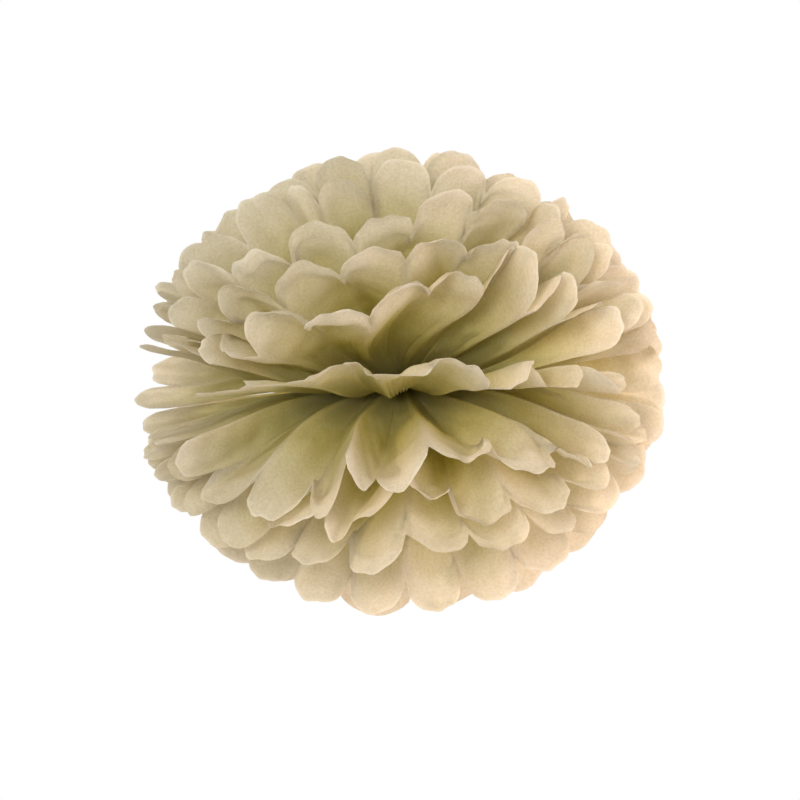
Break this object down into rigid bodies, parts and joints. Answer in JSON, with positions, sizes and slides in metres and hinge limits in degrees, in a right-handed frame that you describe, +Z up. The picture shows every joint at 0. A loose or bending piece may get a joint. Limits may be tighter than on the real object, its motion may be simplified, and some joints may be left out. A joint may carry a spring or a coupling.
{
  "type": "tissue paper pom pom",
  "caption": "Hanging paper ball of accordion-folded tissue sheets, tied round the waist with wire and teased open into rings of rounded petals.",
  "frame": {"origin": "middle of the tied waist", "axes": "+X to the right along the tied strip's width, -Y out of the front face where the sheets part, +Z up the strip"},
  "size_m": [0.3603, 0.3215, 0.3166],
  "materials": {
    "tissue": "matt cream tissue paper, thin enough for light to show through",
    "wire": "annealed florist wire, dark grey and nearly dull"
  },
  "bodies": {
    "root": {"tissue_sheet_01": "tissue", "tissue_sheet_02": "tissue", "tissue_sheet_03": "tissue", "tissue_sheet_04": "tissue", "tissue_sheet_05": "tissue", "tissue_sheet_06": "tissue", "tissue_sheet_07": "tissue", "tissue_sheet_08": "tissue", "tissue_sheet_09": "tissue", "tissue_sheet_10": "tissue", "tie_wire": "wire"}
  },
  "joints": []
}
